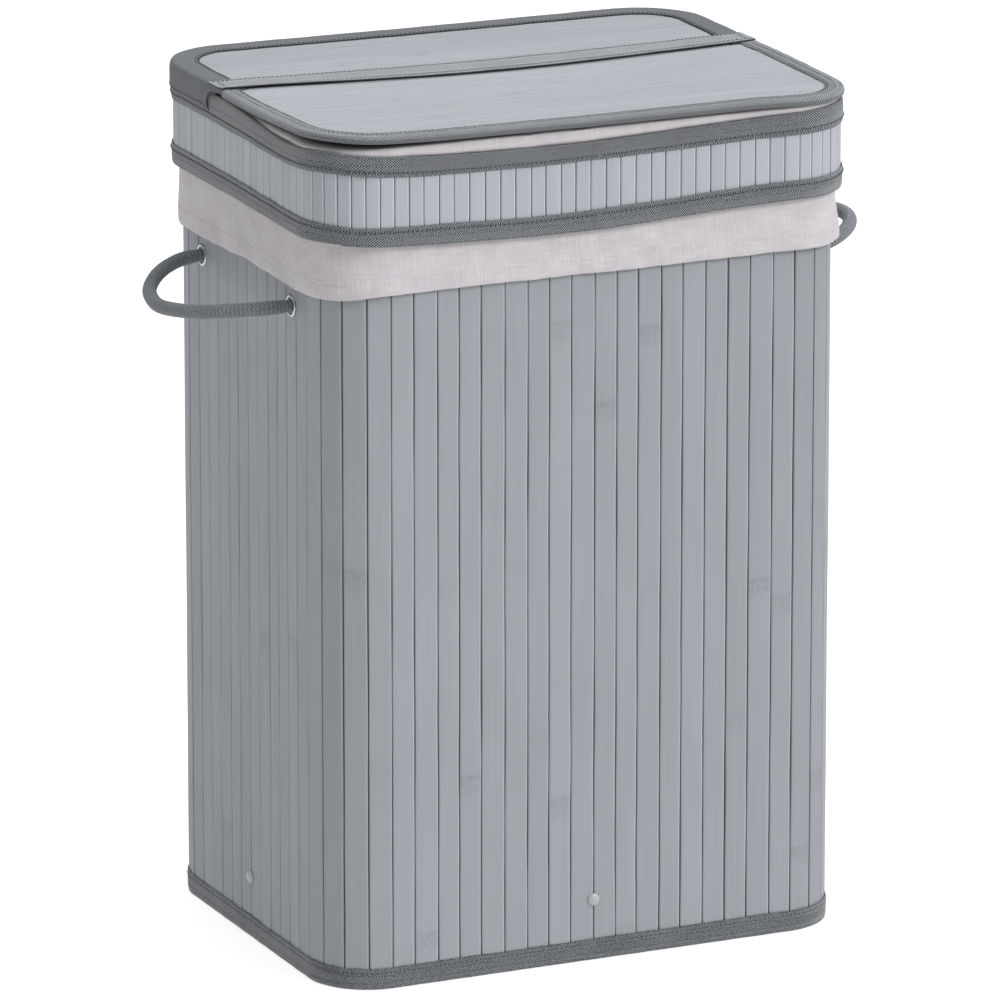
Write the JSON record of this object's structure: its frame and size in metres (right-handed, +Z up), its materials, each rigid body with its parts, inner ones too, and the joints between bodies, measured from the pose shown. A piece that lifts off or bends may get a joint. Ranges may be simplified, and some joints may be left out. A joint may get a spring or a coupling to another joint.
{
  "type": "laundry hamper with lid",
  "caption": "Tall rounded rectangular slatted bamboo hamper with rope side handles, a lift-out cloth liner cuffed over the rim and a banded lid whose front flap folds back.",
  "frame": {"origin": "middle of the hamper's footprint, on the floor", "axes": "+Z up, -Y out of the front wall, +X to the right seen from the front; the lid's fold line and the wide walls run along X, the rope handles are on the -X and +X walls"},
  "size_m": [0.5156, 0.3108, 0.6028],
  "materials": {
    "bamboo": "flat bamboo strips under grey stain, satin",
    "twill_tape": "dark grey cotton twill tape",
    "linen": "off-white plain-woven linen",
    "backing_cloth": "grey woven cloth",
    "rope": "grey braided cotton",
    "plated_steel": "bright nickel plate",
    "fibreboard": "bare fibreboard"
  },
  "bodies": {
    "hamper_body": {"base_bracket_back": "plated_steel", "base_bracket_front": "plated_steel", "base_bracket_left": "plated_steel", "base_bracket_right": "plated_steel", "base_hinge_strip_left": "backing_cloth", "base_hinge_strip_right": "backing_cloth", "base_rivet_back": "plated_steel", "base_rivet_front": "plated_steel", "base_rivet_left": "plated_steel", "base_rivet_right": "plated_steel", "body_backing_cloth": "backing_cloth", "body_foot_tape": "twill_tape", "body_rim_tape": "twill_tape", "body_seam_tape": "twill_tape", "body_slats_back": "bamboo", "body_slats_corner_back_left": "bamboo", "body_slats_corner_back_right": "bamboo", "body_slats_corner_front_left": "bamboo", "body_slats_corner_front_right": "bamboo", "body_slats_front": "bamboo", "body_slats_left": "bamboo", "body_slats_right": "bamboo", "left_eyelet_back": "plated_steel", "left_eyelet_front": "plated_steel", "left_eyelet_washer_back": "plated_steel", "left_eyelet_washer_front": "plated_steel", "left_rope_knot_back": "rope", "left_rope_knot_front": "rope", "right_eyelet_back": "plated_steel", "right_eyelet_front": "plated_steel", "right_eyelet_washer_back": "plated_steel", "right_eyelet_washer_front": "plated_steel", "right_rope_knot_back": "rope", "right_rope_knot_front": "rope"},
    "base": {"base_board": "fibreboard", "base_cover_cloth": "backing_cloth"},
    "left_handle": {"left_rope_handle": "rope"},
    "right_handle": {"right_rope_handle": "rope"},
    "liner": {"liner_bag": "linen", "liner_cuff": "linen", "liner_hem": "linen"},
    "lid": {"lid_band_lining": "backing_cloth", "lid_band_slats_back": "bamboo", "lid_band_slats_front": "bamboo", "lid_band_slats_left": "bamboo", "lid_band_slats_right": "bamboo", "lid_band_tape_lower": "twill_tape", "lid_band_tape_upper": "twill_tape", "lid_hinge_tape": "twill_tape", "lid_rear_binding": "twill_tape", "lid_rear_panel_board": "fibreboard", "lid_rear_panel_lining": "linen", "lid_rear_panel_slats": "bamboo"},
    "flap": {"lid_flap_binding": "twill_tape", "lid_flap_board": "fibreboard", "lid_flap_lining": "linen", "lid_flap_slats": "bamboo"}
  },
  "joints": [
    {"name": "base_fold", "type": "hinge", "parent": "hamper_body", "child": "base", "pos_m": [0, 0.1396, 0.0276], "axis": [-1, 0, 0], "range_deg": [0, 46], "deforming": ["liner_bag"]},
    {"name": "left_handle_swing", "type": "hinge", "parent": "hamper_body", "child": "left_handle", "pos_m": [-0.2025, 0, 0.472], "axis": [0, 1, 0], "range_deg": [-65, 64]},
    {"name": "right_handle_swing", "type": "hinge", "parent": "hamper_body", "child": "right_handle", "pos_m": [0.2025, 0, 0.472], "axis": [0, -1, 0], "range_deg": [-65, 64]},
    {"name": "liner_lift", "type": "slide", "parent": "hamper_body", "child": "liner", "axis": [0, 0, 1], "range_m": [0, 0.6]},
    {"name": "lid_lift", "type": "slide", "parent": "liner", "child": "lid", "axis": [0, 0, 1], "range_m": [0, 0.15]},
    {"name": "flap_hinge", "type": "hinge", "parent": "lid", "child": "flap", "pos_m": [0, 0.0215, 0.6029], "axis": [-1, 0, 0], "range_deg": [0, 168]}
  ]
}
